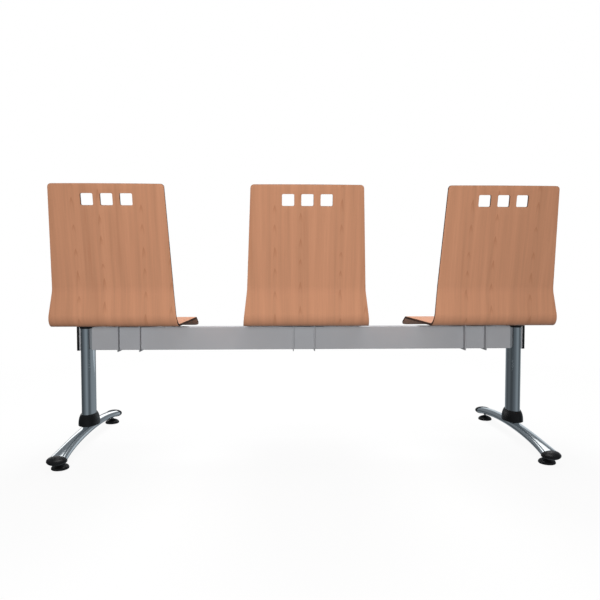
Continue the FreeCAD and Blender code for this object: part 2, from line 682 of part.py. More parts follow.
def bracket_clamp(side, word):
    """Tapped bar welded between the cheeks, and the loose plate that its bolts press on the beam."""
    wide = "cheek_spacing - cheek_thick"
    middle = "beam_base + beam_height / 2"
    bar = box(f"clamp_blank_{word}", (wide, "nut_bar_thick", "clamp_height"),
              (f"-({wide}) / 2", "-nut_bar_front", f"{middle} - clamp_height / 2"))
    threads = [rod(f"clamp_thread_{word}_{turn}", "clamp_bolt_size + 2 * thread_gap", "nut_bar_thick + 2",
                   (f"{turn} * clamp_bolt_spread / 2", "-nut_bar_front - 1", middle), rotation=ALONG_Y)
               for turn in (1, -1)]
    tapped = cut(f"clamp_tapped_{word}", bar, group(f"clamp_threads_{word}", threads))
    node(place(tapped, f"{side} * seat_pitch"), f"clamp_bar_{word}")
    shoe = box(f"clamp_shoe_{word}", (f"{wide} - 4", "clamp_thick", "clamp_height"),
               (f"-({wide} - 4) / 2", "-beam_depth / 2 - clamp_thick", f"{middle} - clamp_height / 2"))
    soft = rounded(f"clamp_soft_{word}", shoe, 2, lambda edge: runs_along(edge, 1))
    node(place(soft, f"{side} * seat_pitch"), f"clamp_plate_{word}")


def seat_fasteners(seats):
    """Screws and inserts of the pans, and the bolts of the bracket clamps, each kind as one group."""
    screws = []
    inserts = []
    bolts = []
    for side, word in seats:
        centre = f"{side} * seat_pitch"
        for i, (across, along) in enumerate(SEAT_SCREWS):
            tag = f"{word}_{i}"
            head = screw_rod(f"seat_screw_head_{tag}", "12", "3.5", "-plate_thick - 3.5", centre, across, along)
            shank = screw_rod(f"seat_screw_shank_{tag}", "seat_screw_size", "plate_thick + seat_insert_depth - 1",
                              "-plate_thick", centre, across, along)
            screws.append(fuse(f"seat_screw_{tag}", [head, shank]))
            barrel = screw_rod(f"seat_insert_barrel_{tag}", "seat_insert_size", "seat_insert_depth", "0",
                               centre, across, along)
            thread = screw_rod(f"seat_insert_thread_{tag}", "seat_screw_size + 2 * thread_gap",
                               "seat_insert_depth + 2", "-1", centre, across, along)
            inserts.append(cut(f"seat_insert_{tag}", barrel, thread))
        for turn in (1, -1):
            at = (f"{centre} + {turn} * clamp_bolt_spread / 2", "-nut_bar_front", "beam_base + beam_height / 2")
            shank = rod(f"clamp_shank_{word}_{turn}", "clamp_bolt_size",
                        "nut_bar_front + 3 - beam_depth / 2 - clamp_thick",
                        (at[0], "-nut_bar_front - 3", at[2]), rotation=ALONG_Y)
            head = hexagon(f"clamp_head_{word}_{turn}", "13", "5.3", (at[0], "-nut_bar_front - 8.3", at[2]),
                           rotation=ALONG_Y)
            bolts.append(fuse(f"clamp_bolt_{word}_{turn}", [head, shank]))
    node(group("seat_screw_group", screws), "seat_screws")
    node(group("seat_insert_group", inserts), "seat_inserts")
    node(group("clamp_bolt_group", bolts), "clamp_bolts")


LEGS = ((1, "left"), (-1, "right"))
ENDS = ((1, "rear"), (-1, "front"))
SEATS = ((1, "left"), (0, "middle"), (-1, "right"))

beam_part()
for leg_side, leg_word in LEGS:
    beam_end_cap(leg_side, leg_word)
    column(leg_side, leg_word)
    column_cap(leg_side, leg_word)
    beam_joint(leg_side, leg_word)
    collar(leg_side, leg_word)
    foot(leg_side, leg_word)
    for end_turn, end_word in ENDS:
        foot_plug(leg_side, end_turn, f"{leg_word}_{end_word}")
        glide(leg_side, end_turn, f"{leg_word}_{end_word}")
leg_fasteners()
foot_fasteners()
for seat_side, seat_word in SEATS:
    seat_shell(seat_side, seat_word)
    seat_plate(seat_side, seat_word)
    for cheek_turn, cheek_word in ((1, "left"), (-1, "right")):
        seat_cheek(seat_side, cheek_turn, f"{seat_word}_{cheek_word}")
    bracket_clamp(seat_side, seat_word)
seat_fasteners(SEATS)
doc.recompute()

# Everything is checked before anything is written
for item in doc.Objects:
    if "Invalid" in item.State or "Error" in item.State:
        raise RuntimeError(f"{item.Name} failed: {item.State}")
for item in nodes:
    if item.Shape.isNull() or not item.Shape.isValid():
        raise RuntimeError(f"{item.Label} has no valid shape")
    if item.Shape.Volume <= 0:
        raise RuntimeError(f"{item.Label} has no volume")
for item in nodes:
    item.Shape.exportStep(f"parts/{item.Label}.step")
    span = item.Shape.BoundBox
    print(f"{item.Label}: {len(item.Shape.Solids)} solid(s), {item.Shape.Volume / 1000:.1f} cm3,"
          f" x {span.XMin:.1f} {span.XMax:.1f}, y {span.YMin:.1f} {span.YMax:.1f},"
          f" z {span.ZMin:.1f} {span.ZMax:.1f}")
print(len(nodes), "nodes")
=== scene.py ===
import math

import bmesh
import bpy
from mathutils import Matrix, Vector


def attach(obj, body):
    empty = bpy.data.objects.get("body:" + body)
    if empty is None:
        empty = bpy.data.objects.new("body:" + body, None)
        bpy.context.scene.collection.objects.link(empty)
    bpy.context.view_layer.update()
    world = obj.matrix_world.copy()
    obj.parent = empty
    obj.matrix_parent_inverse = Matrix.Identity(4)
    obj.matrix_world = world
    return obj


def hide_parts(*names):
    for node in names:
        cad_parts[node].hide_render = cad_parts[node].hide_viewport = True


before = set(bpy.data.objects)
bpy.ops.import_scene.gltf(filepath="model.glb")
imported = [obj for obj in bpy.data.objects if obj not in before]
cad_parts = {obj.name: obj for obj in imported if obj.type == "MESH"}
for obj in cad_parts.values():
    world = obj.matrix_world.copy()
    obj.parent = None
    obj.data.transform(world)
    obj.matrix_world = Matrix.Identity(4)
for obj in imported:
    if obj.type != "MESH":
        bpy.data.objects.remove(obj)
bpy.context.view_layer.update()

# The studio: a pale seamless floor in a white surround, with soft lamps behind the camera,
# over the bench and in front of it. The photographed chrome mirrors a darker room with white
# cards in it, so a cool grey vault and three cards stand here for the mirrors alone.
scene = bpy.context.scene
scene.view_settings.view_transform = "Standard"

WHITE = "#ffffff"
FLOOR_WHITE = "#f4f4f4"
# The floor as its bounced light sees it, which keeps the undersides as dark as they are
FLOOR_GREY = "#484848"


def linear(hex_colour):
    """A hex colour as the linear red, green, blue and alpha that a shader takes."""
    parts = [int(hex_colour[i:i + 2], 16) / 255 for i in (1, 3, 5)]
    return [p / 12.92 if p <= 0.04045 else ((p + 0.055) / 1.055) ** 2.4 for p in parts] + [1.0]


def add(tree, kind, settings=(), **links):
    """Adds a node. Settings are its properties, or inputs by name or place. Links are the
    sockets that feed its inputs, each under the input's name or under i and its place."""
    made = tree.nodes.new(kind)
    for name, amount in dict(settings).items():
        if isinstance(name, int) or name in made.inputs:
            made.inputs[name].default_value = amount
        else:
            setattr(made, name, amount)
    for name, source in links.items():
        place = int(name[1:]) if name[1:].isdigit() else name.replace("_", " ")
        tree.links.new(source, made.inputs[place])
    return made


def seen_directly(tree):
    """1 for rays from the camera, from a mirror or through glass, and 0 for scattered light."""
    ray = add(tree, "ShaderNodeLightPath")
    seen = add(tree, "ShaderNodeMath", {"operation": "MAXIMUM"}, i0=ray.outputs["Is Camera Ray"],
               i1=ray.outputs["Is Glossy Ray"])
    return add(tree, "ShaderNodeMath", {"operation": "MAXIMUM"}, i0=seen.outputs[0],
               i1=ray.outputs["Is Transmission Ray"])


def staged(name, form, paint, mirrors_only=True):
    """Makes a stage piece of a form, which only mirrors see unless it says otherwise."""
    mesh = bpy.data.meshes.new(name)
    form.to_mesh(mesh)
    form.free()
    piece = bpy.data.objects.new(name, mesh)
    scene.collection.objects.link(piece)
    if mirrors_only:
        for kind in ("camera", "diffuse", "shadow", "transmission", "volume_scatter"):
            setattr(piece, f"visible_{kind}", False)
    mesh.materials.append(paint)
    return piece


def stage_paint(name):
    """An empty material for a stage piece, and its node tree."""
    paint = bpy.data.materials.new(name)
    paint.use_nodes = True
    paint.node_tree.nodes.clear()
    return paint, paint.node_tree


world = bpy.data.worlds.new("white_surround")
scene.world = world
world.use_nodes = True
surround = world.node_tree
surround.nodes.clear()
SURROUND_LIGHT = 0.09
seen = seen_directly(surround)
lit = add(surround, "ShaderNodeBackground", {"Color": linear(WHITE), "Strength": SURROUND_LIGHT})
white = add(surround, "ShaderNodeBackground", {"Color": linear(WHITE), "Strength": 1.0})
blend = add(surround, "ShaderNodeMixShader", i0=seen.outputs[0], i1=lit.outputs[0],
            i2=white.outputs[0])
add(surround, "ShaderNodeOutputWorld", Surface=blend.outputs[0])

FLOOR_SIZE = 60.0
# How much of the floor's white is its own, so that the shadow stays faint. From one distance
# to the other, in metres from the bench's middle, that share grows to all of it.
FLOOR_GLOW = 0.93
GLOW_NEAR = 0.8
GLOW_FAR = 2.6
floor_paint, tree = stage_paint("pale_floor")
seen = seen_directly(tree)
place = add(tree, "ShaderNodeTexCoord")
distance = add(tree, "ShaderNodeVectorMath", {"operation": "LENGTH"}, i0=place.outputs["Object"])
glow_share = add(tree, "ShaderNodeMapRange", {"From Min": GLOW_NEAR, "From Max": GLOW_FAR,
                                              "To Min": FLOOR_GLOW, "To Max": 1.0},
                 Value=distance.outputs["Value"])
bounce = add(tree, "ShaderNodeBsdfDiffuse", {"Color": linear(FLOOR_GREY)})
matt = add(tree, "ShaderNodeBsdfDiffuse", {"Color": linear(FLOOR_WHITE)})
glow = add(tree, "ShaderNodeEmission", {"Color": linear(WHITE), "Strength": 1.0})
shown = add(tree, "ShaderNodeMixShader", i0=glow_share.outputs[0], i1=matt.outputs[0],
            i2=glow.outputs[0])
mixed = add(tree, "ShaderNodeMixShader", i0=seen.outputs[0], i1=bounce.outputs[0],
            i2=shown.outputs[0])
add(tree, "ShaderNodeOutputMaterial", Surface=mixed.outputs[0])
floor_form = bmesh.new()
bmesh.ops.create_grid(floor_form, x_segments=1, y_segments=1, size=FLOOR_SIZE / 2)
floor = staged("floor", floor_form, floor_paint, mirrors_only=False)
floor.visible_glossy = False

# The grey vault, lighter behind the camera to the right and in front to the right. Its
# tones are given by the direction round the bench, from front over right to rear and left.
VAULT_RADIUS = 12.0
VAULT_TONES = ((0.0, "#8a9298"), (0.09, "#98a0a6"), (0.17, "#959da3"), (0.27, "#61686d"),
               (0.43, "#9aa3aa"), (0.53, "#868e94"), (0.63, "#6a7177"), (0.78, "#4d5256"),
               (0.86, "#656a6e"), (0.92, "#565a5e"), (1.0, "#8a9298"))
# The tone overhead, and the upward share of a direction at which it has taken over
VAULT_UPPER = "#868b90"
VAULT_RISE = 0.25
vault_paint, tree = stage_paint("grey_vault")
place = add(tree, "ShaderNodeTexCoord")
toward = add(tree, "ShaderNodeVectorMath", {"operation": "NORMALIZE"}, i0=place.outputs["Object"])
axes = add(tree, "ShaderNodeSeparateXYZ", i0=toward.outputs[0])
turned = add(tree, "ShaderNodeMath", {"operation": "ARCTAN2"}, i0=axes.outputs["X"],
             i1=axes.outputs["Y"])
turned = add(tree, "ShaderNodeMapRange", {"From Min": -math.pi, "From Max": math.pi},
             Value=turned.outputs[0])
round_about = add(tree, "ShaderNodeValToRGB", i0=turned.outputs[0])
ramp = round_about.color_ramp
ramp.interpolation = "EASE"
for stop, (where, tone) in enumerate(VAULT_TONES):
    mark = ramp.elements[stop] if stop < 2 else ramp.elements.new(where)
    mark.position = where
    mark.color = linear(tone)
height = add(tree, "ShaderNodeMapRange", {"interpolation_type": "SMOOTHSTEP", "From Min": 0.0,
                                          "From Max": VAULT_RISE}, Value=axes.outputs["Z"])
tone = add(tree, "ShaderNodeMix", {"data_type": "RGBA", 7: linear(VAULT_UPPER)},
           i0=height.outputs[0], i6=round_about.outputs[0])
lit = add(tree, "ShaderNodeEmission", {"Strength": 1.0}, Color=tone.outputs[2])
add(tree, "ShaderNodeOutputMaterial", Surface=lit.outputs[0])
vault_paint.cycles.emission_sampling = "NONE"
vault_form = bmesh.new()
bmesh.ops.create_uvsphere(vault_form, u_segments=48, v_segments=24, radius=VAULT_RADIUS)
bmesh.ops.reverse_faces(vault_form, faces=vault_form.faces)
staged("grey_vault", vault_form, vault_paint)

# The width over which a card fades out to its edge
CARD_FADE = 0.12


def card(name, middle, size, strength, tone, lean=0.0):
    """A glowing upright card in front of the bench; lean turns it in its own plane."""
    paint, tree = stage_paint(name)
    place = add(tree, "ShaderNodeTexCoord")
    centred = add(tree, "ShaderNodeMapping", {"vector_type": "TEXTURE", "Location": middle,
                                              "Rotation": (0, lean, 0)}, Vector=place.outputs["Object"])
    axes = add(tree, "ShaderNodeSeparateXYZ", i0=centred.outputs[0])
    fades = []
    for axis, across in zip("XZ", size):
        off = add(tree, "ShaderNodeMath", {"operation": "ABSOLUTE"}, i0=axes.outputs[axis])
        fades.append(add(tree, "ShaderNodeMapRange", {"interpolation_type": "SMOOTHSTEP",
                                                      "From Min": across / 2,
                                                      "From Max": across / 2 - CARD_FADE},
                         Value=off.outputs[0]))
    share = add(tree, "ShaderNodeMath", {"operation": "MULTIPLY"}, i0=fades[0].outputs[0],
                i1=fades[1].outputs[0])
    clear = add(tree, "ShaderNodeBsdfTransparent")
    lit = add(tree, "ShaderNodeEmission", {"Color": linear(tone), "Strength": strength})
    mixed = add(tree, "ShaderNodeMixShader", i0=share.outputs[0], i1=clear.outputs[0],
                i2=lit.outputs[0])
    add(tree, "ShaderNodeOutputMaterial", Surface=mixed.outputs[0])
    paint.cycles.emission_sampling = "NONE"
    form = bmesh.new()
    bmesh.ops.create_grid(form, x_segments=1, y_segments=1, size=0.5)
    bmesh.ops.scale(form, verts=form.verts, vec=(*size, 1))
    bmesh.ops.rotate(form, verts=form.verts, matrix=Matrix.Rotation(math.pi / 2, 3, "X"))
    bmesh.ops.rotate(form, verts=form.verts, matrix=Matrix.Rotation(lean, 3, "Y"))
    bmesh.ops.translate(form, verts=form.verts, vec=middle)
    staged(name, form, paint)


COOL_WHITE = "#e4edf4"
card("card_left", (1.8, -2.4, 0.6), (1.9, 0.9), 1.7, WHITE)
card("card_middle", (-5.7, -9.0, 1.3), (5.6, 5.4), 0.85, COOL_WHITE)
card("card_overhead", (-1.05, -6.0, 6.8), (8.1, 4.4), 1.9, WHITE, lean=math.radians(-6))


def soft_lamp(name, power, size, place, target, mirrored=True):
    """A square area lamp aimed at a point; one that isn't mirrored leaves no highlight."""
    lamp = bpy.data.lights.new(name, "AREA")
    lamp.energy = power
    lamp.size = size
    holder = bpy.data.objects.new(name, lamp)
    holder.location = place
    holder.rotation_euler = (Vector(target) - Vector(place)).to_track_quat("-Z", "Y").to_euler()
    holder.visible_glossy = mirrored
    scene.collection.objects.link(holder)


soft_lamp("key_lamp", 52, 0.6, (0.2, 2.75, 0.55), (0, 0.2, 0.5), mirrored=False)
soft_lamp("top_lamp", 32, 2.0, (0, 0.3, 2.7), (0, 0, 0.4))
soft_lamp("front_lamp", 90, 1.2, (0, -1.9, 2.3), (0, 0, 0.45), mirrored=False)

# The camera stands behind the bench at sitting eye height and looks slightly down.
CAMERA_PLACE = Vector((0.08546, 2.02500, 0.59137))
CAMERA_YAW = 0.0358
CAMERA_PITCH = 0.0425
SENSOR_WIDTH = 36.0
FOCAL_PIXELS = 570.32
IMAGE_PIXELS = 600
camera_data = bpy.data.cameras.new("camera")
camera_data.sensor_width = SENSOR_WIDTH
camera_data.lens = FOCAL_PIXELS / IMAGE_PIXELS * SENSOR_WIDTH
camera = bpy.data.objects.new("camera", camera_data)
scene.collection.objects.link(camera)
forward = Vector((-math.sin(CAMERA_YAW) * math.cos(CAMERA_PITCH),
                  -math.cos(CAMERA_YAW) * math.cos(CAMERA_PITCH), -math.sin(CAMERA_PITCH)))
rightward = Vector((-math.cos(CAMERA_YAW), math.sin(CAMERA_YAW), 0))
upward = rightward.cross(forward)
turn = Matrix((rightward, upward, -forward)).transposed()
camera.matrix_world = Matrix.Translation(CAMERA_PLACE) @ turn.to_4x4()
scene.camera = camera

# The beam: a rectangular steel tube, bolted down on the two columns, that carries everything.
# Its silver powder coat looks even and satin, with no clear highlight.
BEAM_SILVER = "#aeafb2"
COAT_DARK = "#a8a9ad"
COAT_LIGHT = "#b3b4b7"


def finish_of(name, colour, roughness, metallic=0.0, specular=0.5):
    """A material with its constants on the shader's own sockets, its node tree and its shader."""
    made = bpy.data.materials.new(name)
    made.use_nodes = True
    shader = made.node_tree.nodes["Principled BSDF"]
    shader.inputs["Base Color"].default_value = linear(colour)
    shader.inputs["Roughness"].default_value = roughness
    shader.inputs["Metallic"].default_value = metallic
    shader.inputs["Specular IOR Level"].default_value = specular
    return made, made.node_tree, shader


def per_metre(size_mm):
    """The scale of a noise whose grains are this many millimetres across."""
    return 1000 / size_mm


def grained(tree, shader, source, size_mm, depth_mm, strength):
    """Adds a fine moulded or sprayed grain to a shader's surface."""
    noise = add(tree, "ShaderNodeTexNoise", {"Scale": per_metre(size_mm), "Detail": 3.0}, Vector=source)
    bump = add(tree, "ShaderNodeBump", {"Distance": depth_mm / 1000, "Strength": strength},
               Height=noise.outputs["Fac"])
    tree.links.new(bump.outputs[0], shader.inputs["Normal"])


def dress(node, material):
    """Gives a node of the frame its material."""
    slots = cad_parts[node].data.materials
    slots.clear()
    slots.append(material)


silver_coat, tree, shader = finish_of("silver_powder_coat", BEAM_SILVER, roughness=0.42)
place = add(tree, "ShaderNodeTexCoord")
grained(tree, shader, place.outputs["Object"], size_mm=0.8, depth_mm=0.02, strength=0.25)
# Powder coat lies very slightly uneven over long stretches
cloud = add(tree, "ShaderNodeTexNoise", {"Scale": per_metre(120), "Detail": 2.0},
            Vector=place.outputs["Object"])
tone = add(tree, "ShaderNodeMix", {"data_type": "RGBA", 6: linear(COAT_DARK), 7: linear(COAT_LIGHT)},
           i0=cloud.outputs["Fac"])
tree.links.new(tone.outputs[2], shader.inputs["Base Color"])
dress("beam", silver_coat)

# The black moulded parts: polypropylene with a fine spark-eroded grain and a soft
# sheen. End caps of the beam, column caps, collars, foot plugs and glide pads.
BLACK_PLASTIC = "#101011"
black_plastic, tree, shader = finish_of("black_polypropylene", BLACK_PLASTIC, roughness=0.42,
                                        specular=0.35)
place = add(tree, "ShaderNodeTexCoord")
grained(tree, shader, place.outputs["Object"], size_mm=0.9, depth_mm=0.02, strength=0.12)
wear = add(tree, "ShaderNodeTexNoise", {"Scale": per_metre(9), "Detail": 4.0},
           Vector=place.outputs["Object"])
matted = add(tree, "ShaderNodeMapRange", {"From Min": 0.3, "From Max": 0.7, "To Min": 0.3,
                                          "To Max": 0.46}, Value=wear.outputs["Fac"])
tree.links.new(matted.outputs[0], shader.inputs["Roughness"])
LEGS = ("left", "right")
ENDS = ("rear", "front")
for leg in LEGS:
    for piece in ("beam_end_cap", "column_cap", "collar"):
        dress(f"{piece}_{leg}", black_plastic)
    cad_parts[f"collar_{leg}"].visible_glossy = False
    for end in ENDS:
        for piece in ("foot_plug", "glide_pad"):
            dress(f"{piece}_{leg}_{end}", black_plastic)

# Columns and feet: oval steel tube, polished and chrome plated. It mirrors the room sharply,
# with a faint haze that varies over a few centimetres as the polish under the plate does.
CHROME = "#c4cacd"
chrome, tree, shader = finish_of("bright_chrome_plate", CHROME, roughness=0.09, metallic=1.0)
place = add(tree, "ShaderNodeTexCoord")
smear = add(tree, "ShaderNodeTexNoise", {"Scale": per_metre(35), "Detail": 4.0},
            Vector=place.outputs["Object"])
haze = add(tree, "ShaderNodeMapRange", {"From Min": 0.35, "From Max": 0.75, "To Min": 0.07,
                                        "To Max": 0.13}, Value=smear.outputs["Fac"])
tree.links.new(haze.outputs[0], shader.inputs["Roughness"])
for leg in LEGS:
    dress(f"column_{leg}", chrome)
    dress(f"foot_{leg}", chrome)

# Inner plates, glide studs and all fasteners: plain steel with a bright zinc plate. Beside the
# chrome it looks dull, with a fine spangle.
ZINC = "#a9abad"
zinc_plate, tree, shader = finish_of("bright_zinc_plate", ZINC, roughness=0.32, metallic=1.0)
place = add(tree, "ShaderNodeTexCoord")
spangle = add(tree, "ShaderNodeTexVoronoi", {"Scale": per_metre(2.5)},
              Vector=place.outputs["Object"])
mottle = add(tree, "ShaderNodeMapRange", {"To Min": 0.26, "To Max": 0.42},
             Value=spangle.outputs["Distance"])
tree.links.new(mottle.outputs[0], shader.inputs["Roughness"])
for leg in LEGS:
    for piece in ("beam_support_plate", "beam_nut_plate", "foot_saddle"):
        dress(f"{piece}_{leg}", zinc_plate)
    for end in ENDS:
        dress(f"glide_insert_{leg}_{end}", zinc_plate)
        dress(f"glide_stud_{leg}_{end}", zinc_plate)
for piece in ("leg_bolts", "leg_washers", "foot_bolts", "seat_screws", "seat_inserts",
              "clamp_bolts"):
    dress(piece, zinc_plate)

# Seat brackets: two steel cheeks that the beam runs through, the plate under the pan
# and the clamp between the cheeks, all powder coated with the beam.
SEATS = {"left": 1, "middle": 0, "right": -1}
for seat in SEATS:
    for piece in (f"seat_plate_{seat}", f"seat_cheek_{seat}_left", f"seat_cheek_{seat}_right",
                  f"clamp_bar_{seat}", f"clamp_plate_{seat}"):
        dress(piece, silver_coat)

# Seat shells: seven beech plies pressed in one mould to a back, a waist, a heel bend,
# a pan and a drooping lip. The blank is cut flat, its three windows are routed out, its
# edges are broken and the whole is lacquered satin. The plies show dark at the edge.
BODY = "bench"
PITCH = 0.6075
PLY = 0.008
PLIES = 7
EDGE_BREAK = 0.0009
# The outer face from the side: its corners rearward and up, from the top of the back to the
# lip, and the radii of the bends between them
SHELL_PATH = ((0.278, 0.868), (0.2171, 0.546), (0.2314, 0.4297), (-0.186, 0.425),
              (-0.2518, 0.3957))
BENDS = (0.090, 0.038, 0.032)
HALF_TOP = 0.173
HALF_WAIST = 0.1883
HALF_PAN = 0.2015
TOP_CORNER = 0.010
LIP_CORNER = 0.018
WINDOW_WIDTH = 0.0374
WINDOW_TALL = 0.036
WINDOW_PITCH = 0.059
WINDOW_CORNER = 0.004
WINDOW_HEIGHT = 0.823
# The back is bowed a little in plan, its middle to the rear, most at the top
BACK_BOW = 0.0065

corners = [Vector(point) for point in SHELL_PATH]
runs = [(after - before).normalized() for before, after in zip(corners, corners[1:])]
# The outer face as stretches, each with its kind, where it begins along the blank, its length,
# its first point, its heading there and how fast it turns
stretches = []
reached = 0.0
start = corners[0]
for corner, before, after, radius in zip(corners[1:], runs, runs[1:], BENDS):
    angle = before.angle_signed(after)
    arc = radius * abs(angle)
    cut_back = radius * math.tan(abs(angle) / 2)
    length = (corner - before * cut_back - start).length
    stretches.append(("straight", reached, length, start, before, 0.0))
    reached += length
    start = corner + after * cut_back
    stretches.append(("bend", reached, arc, corner - before * cut_back, before, -angle / arc))
    reached += arc
stretches.append(("straight", reached, (corners[-1] - start).length, start, runs[-1], 0.0))
SHELL_LENGTH = reached + stretches[-1][2]
# The bow has died out where the heel bend begins
BOW_END = stretches[3][1]


def on_shell(along, depth):
    """The side-view place of a point of the blank, by length from the top and depth in the ply."""
    for kind, begin, length, origin, heading, rate in stretches:
        if along <= begin + length or begin == stretches[-1][1]:
            break
    step = along - begin
    if kind == "straight":
        point = origin + heading * step
        direction = heading
    else:
        angle = rate * step
        direction = Matrix.Rotation(angle, 2) @ heading
        side = Vector((-heading.y, heading.x))
        point = origin + heading * (math.sin(angle) / rate) + side * ((1 - math.cos(angle)) / rate)
    inward = Vector((direction.y, -direction.x))
    return point + inward * depth


def half_width(along):
    """Half the blank's width at a length from the top, with the rounding of its corners."""
    height = on_shell(along, 0).y
    if height > SHELL_PATH[1][1]:
        share = (SHELL_PATH[0][1] - height) / (SHELL_PATH[0][1] - SHELL_PATH[1][1])
        half = HALF_TOP + share * (HALF_WAIST - HALF_TOP)
    else:
        share = min(1.0, (SHELL_PATH[1][1] - height) / (SHELL_PATH[1][1] - SHELL_PATH[2][1]))
        half = HALF_WAIST + share * (HALF_PAN - HALF_WAIST)
    if along < TOP_CORNER:
        half -= TOP_CORNER - math.sqrt(TOP_CORNER ** 2 - (TOP_CORNER - along) ** 2)
    left = SHELL_LENGTH - along
    if left < LIP_CORNER:
        half -= LIP_CORNER - math.sqrt(max(0.0, LIP_CORNER ** 2 - (LIP_CORNER - left) ** 2))
    return half


def ring(form, points):
    """A closed loop of edges through flat points."""
    verts = [form.verts.new((x, y, 0)) for x, y in points]
    return [form.edges.new((a, b)) for a, b in zip(verts, verts[1:] + verts[:1])]


# How finely the blank is cut up: the steps round a corner of the blank and of a window, the
# rows' spacing on straight stretches and on bends, and the columns' spacing and number a side
CORNER_STEPS = 6
WINDOW_STEPS = 4
STRAIGHT_STEP = 0.03
BEND_STEP = 0.004
COLUMN_STEP = 0.02
COLUMNS = 9
quarter_turn = [1 - math.cos(math.pi / 2 * i / CORNER_STEPS) for i in range(CORNER_STEPS + 1)]
stations = [TOP_CORNER * share for share in quarter_turn]
stations += [SHELL_LENGTH - LIP_CORNER * share for share in quarter_turn]
creases = []
for kind, begin, length, _, _, _ in stretches:
    fewest, spacing = (2, STRAIGHT_STEP) if kind == "straight" else (4, BEND_STEP)
    count = max(fewest, round(length / spacing))
    creases += [begin + length * i / count for i in range(count)]
creases = sorted(creases)[1:]
stations = sorted(stations + creases)
# How far down the blank the windows' middles are, to the millimetre
window_middle = next(along / 1000 for along in range(1, 200)
                     if on_shell(along / 1000, PLY / 2).y < WINDOW_HEIGHT)


def window_outline(middle):
    """The rounded square of one window, in the flat blank."""
    half_wide = WINDOW_WIDTH / 2 - WINDOW_CORNER
    half_tall = WINDOW_TALL / 2 - WINDOW_CORNER
    points = []
    for quarter, (sx, sy) in enumerate(((1, 1), (-1, 1), (-1, -1), (1, -1))):
        for i in range(WINDOW_STEPS + 1):
            angle = math.pi / 2 * (quarter + i / WINDOW_STEPS)
            points.append((middle + sx * half_wide + WINDOW_CORNER * math.cos(angle),
                           window_middle + sy * half_tall + WINDOW_CORNER * math.sin(angle)))
    return points


# Points closer than this are one, faces that turn by more than the angle meet in an edge, and
# the other two tell a flat face by its normal and a square rim by its two normals' product
TOUCHING = 1e-6
SHARP_TURN = math.radians(28)
FLAT_NORMAL = 0.9
SQUARE_NORMALS = 0.2


def pressed_shell(name, offset):
    """One shell: the flat blank cut out, given its thickness and broken edges, then bent."""
    form = bmesh.new()
    right_side = [(half_width(along), along) for along in stations]
    outline = right_side + [(-x, along) for x, along in reversed(right_side)]
    edges = ring(form, outline)
    for i in (-1, 0, 1):
        edges += ring(form, window_outline(i * WINDOW_PITCH))
    bmesh.ops.triangle_fill(form, use_beauty=True, use_dissolve=False, edges=edges)
    for along in creases:
        bmesh.ops.bisect_plane(form, geom=form.verts[:] + form.edges[:] + form.faces[:],
                               plane_co=(0, along, 0), plane_no=(0, 1, 0), dist=TOUCHING)
    for step in range(-COLUMNS, COLUMNS + 1):
        bmesh.ops.bisect_plane(form, geom=form.verts[:] + form.edges[:] + form.faces[:],
                               plane_co=(step * COLUMN_STEP, 0, 0), plane_no=(1, 0, 0),
                               dist=TOUCHING)
    bmesh.ops.remove_doubles(form, verts=form.verts, dist=TOUCHING)
    bmesh.ops.recalc_face_normals(form, faces=form.faces)
    if form.faces[0].normal.z > 0:
        bmesh.ops.reverse_faces(form, faces=form.faces)
    top = bmesh.ops.extrude_face_region(form, geom=form.faces[:], use_keep_orig=True)
    raised = [item for item in top["geom"] if isinstance(item, bmesh.types.BMVert)]
    bmesh.ops.translate(form, verts=raised, vec=(0, 0, PLY))
    bmesh.ops.recalc_face_normals(form, faces=form.faces)
    rim = [edge for edge in form.edges if edge.is_manifold
           and abs(edge.link_faces[0].normal.dot(edge.link_faces[1].normal)) < SQUARE_NORMALS
           and abs(edge.verts[0].co.z - edge.verts[1].co.z) < TOUCHING]
    bmesh.ops.bevel(form, geom=rim, offset=EDGE_BREAK, offset_type="OFFSET", segments=2,
                    profile=0.5, affect="EDGES", material=-1, clamp_overlap=True)
    for face in form.faces:
        face.material_index = 0 if abs(face.normal.z) > FLAT_NORMAL else 1
    grain_uv = form.loops.layers.uv.new("grain")
    depth_uv = form.loops.layers.uv.new("depth")
    for face in form.faces:
        for loop in face.loops:
            loop[grain_uv].uv = (loop.vert.co.x + offset / 3, loop.vert.co.y)
            loop[depth_uv].uv = (loop.vert.co.z, 0)
    for vert in form.verts:
        x, along, depth = vert.co
        side_view = on_shell(along, depth)
        bow = BACK_BOW * (1 - (x / HALF_PAN) ** 2) * max(0.0, 1 - along / BOW_END)
        vert.co = (offset + x, side_view.x + bow, side_view.y)
    bmesh.ops.recalc_face_normals(form, faces=form.faces)
    for face in form.faces:
        face.smooth = True
    for edge in form.edges:
        edge.smooth = edge.calc_face_angle(0) < SHARP_TURN
    mesh = bpy.data.meshes.new(name)
    form.to_mesh(mesh)
    form.free()
    made = bpy.data.objects.new(name, mesh)
    scene.collection.objects.link(made)
    return made


# The faces: sliced beech veneer under a satin lacquer. Its tones give the eye upright bands:
# brown late wood, a duller brown, the even ground and the rosy early wood.
VENEER_MID = "#c88e6e"
VENEER_TONES = ((0.26, "#b97a5a"), (0.42, "#c38c6c"), (0.54, "#cb9170"), (0.72, "#d59a78"))
beech, tree, shader = finish_of("lacquered_beech_veneer", VENEER_MID, roughness=0.42,
                                specular=0.4)
grain_map = add(tree, "ShaderNodeUVMap", {"uv_map": "grain"})


def streaks(across_mm, along_mm, detail, distortion):
    """Noise drawn out along the grain: streaks of a width across it and a length along it."""
    scale = (per_metre(across_mm), per_metre(along_mm), 1)
    stretched = add(tree, "ShaderNodeMapping", {"Scale": scale}, Vector=grain_map.outputs[0])
    return add(tree, "ShaderNodeTexNoise", {"Scale": 1.0, "Detail": detail,
                                            "Distortion": distortion}, Vector=stretched.outputs[0])


